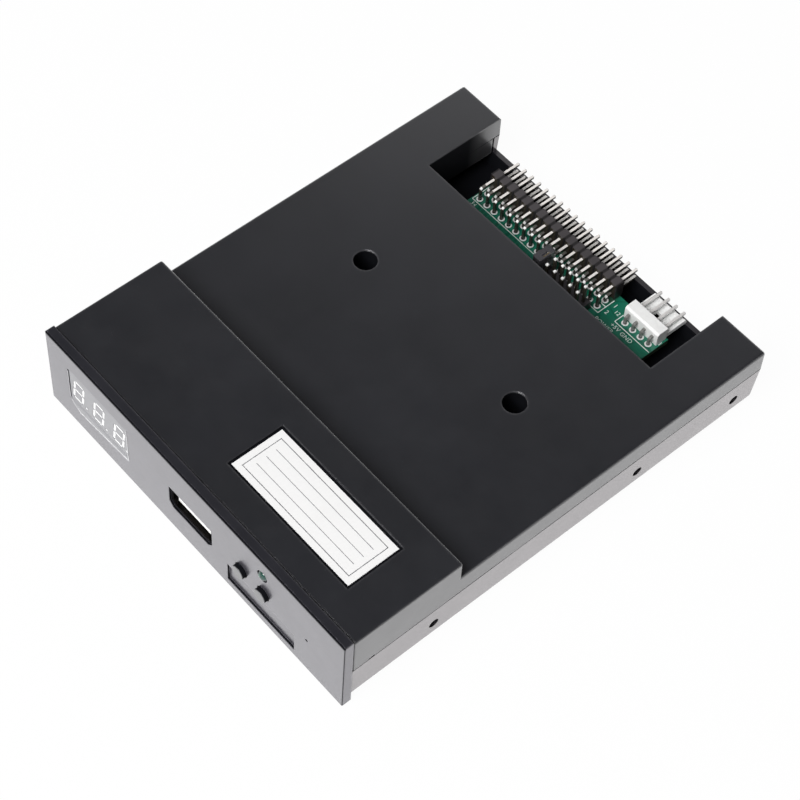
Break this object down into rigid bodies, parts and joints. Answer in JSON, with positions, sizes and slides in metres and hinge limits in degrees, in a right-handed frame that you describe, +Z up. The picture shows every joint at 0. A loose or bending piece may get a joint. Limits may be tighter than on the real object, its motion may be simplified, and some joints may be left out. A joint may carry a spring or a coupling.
{
  "type": "floppy drive emulator",
  "caption": "Black 3.5-inch bay drive emulator: flat case with a display, USB port and push buttons in front and a rear bay with pin headers, a jumper shunt and a power connector.",
  "frame": {"origin": "middle of the footprint at the height of the bezel's lower edge and the bottom pads", "axes": "+X to the right when looking at the bezel, +Y from the bezel to the connectors, +Z up; the bezel faces -Y"},
  "size_m": [0.1016, 0.1244, 0.025],
  "materials": {
    "case_plastic": "fine satin grain, black",
    "label_paper": "matt white label",
    "screw_steel": "zinc plated",
    "board_laminate": "green solder mask over glass laminate",
    "display_plastic": "plain moulded",
    "display_ink": "grey printed face",
    "segment_resin": "milky unlit resin",
    "pin_metal": "tin plated",
    "wire_jacket": "smooth jacket",
    "connector_white": "moulded off-white nylon",
    "socket_steel": "dark plated sheet",
    "contact_metal": "gold flashed spring metal",
    "button_plastic": "satin black",
    "switch_plastic": "matt black",
    "sheet_steel": "bright sheet",
    "led_resin": "tinted green resin",
    "header_plastic": "satin black",
    "shunt_plastic": "satin black",
    "chip_plastic": "moulded epoxy",
    "crystal_can": "drawn can",
    "can_aluminium": "plain can on a black base",
    "resistor_ceramic": "dark film on ceramic",
    "capacitor_ceramic": "tan ceramic"
  },
  "bodies": {
    "case": {"front_bezel": "case_plastic", "top_cover": "case_plastic", "bottom_case": "case_plastic", "paper_label": "label_paper", "case_screws": "screw_steel", "main_board": "board_laminate", "display_board": "board_laminate", "display_housing": "display_plastic", "display_face": "display_ink", "display_segments": "segment_resin", "display_pins": "pin_metal", "display_wires": "wire_jacket", "cable_header": "connector_white", "usb_shell": "socket_steel", "usb_insulator": "connector_white", "usb_contacts": "contact_metal", "left_switch_body": "switch_plastic", "right_switch_body": "switch_plastic", "left_switch_frame": "sheet_steel", "right_switch_frame": "sheet_steel", "left_switch_dome": "sheet_steel", "right_switch_dome": "sheet_steel", "switch_pins": "pin_metal", "activity_led": "led_resin", "led_leads": "pin_metal", "drive_header_housing": "header_plastic", "drive_header_upper_pins": "pin_metal", "drive_header_lower_pins": "pin_metal", "jumper_housing": "header_plastic", "jumper_pins": "pin_metal", "power_connector_housing": "connector_white", "power_connector_pins": "pin_metal", "microcontroller": "chip_plastic", "microcontroller_leads": "pin_metal", "buffer_chips": "chip_plastic", "buffer_leads": "pin_metal", "crystal": "crystal_can", "voltage_regulator": "chip_plastic", "can_capacitors": "can_aluminium", "chip_resistors": "resistor_ceramic", "chip_capacitors": "capacitor_ceramic"},
    "left_button": {"left_button": "button_plastic"},
    "right_button": {"right_button": "button_plastic"},
    "jumper_shunt": {"jumper_shunt": "shunt_plastic", "shunt_clip": "contact_metal"}
  },
  "joints": [
    {"name": "left_button_press", "type": "slide", "parent": "case", "child": "left_button", "axis": [0, 1, 0], "range_m": [0, 0.00025], "stiffness_N_per_m": 6400},
    {"name": "right_button_press", "type": "slide", "parent": "case", "child": "right_button", "axis": [0, 1, 0], "range_m": [0, 0.00025], "stiffness_N_per_m": 6400},
    {"name": "jumper_shunt_pull", "type": "slide", "parent": "case", "child": "jumper_shunt", "axis": [0, 0, 1], "range_m": [0, 0.0058]}
  ]
}
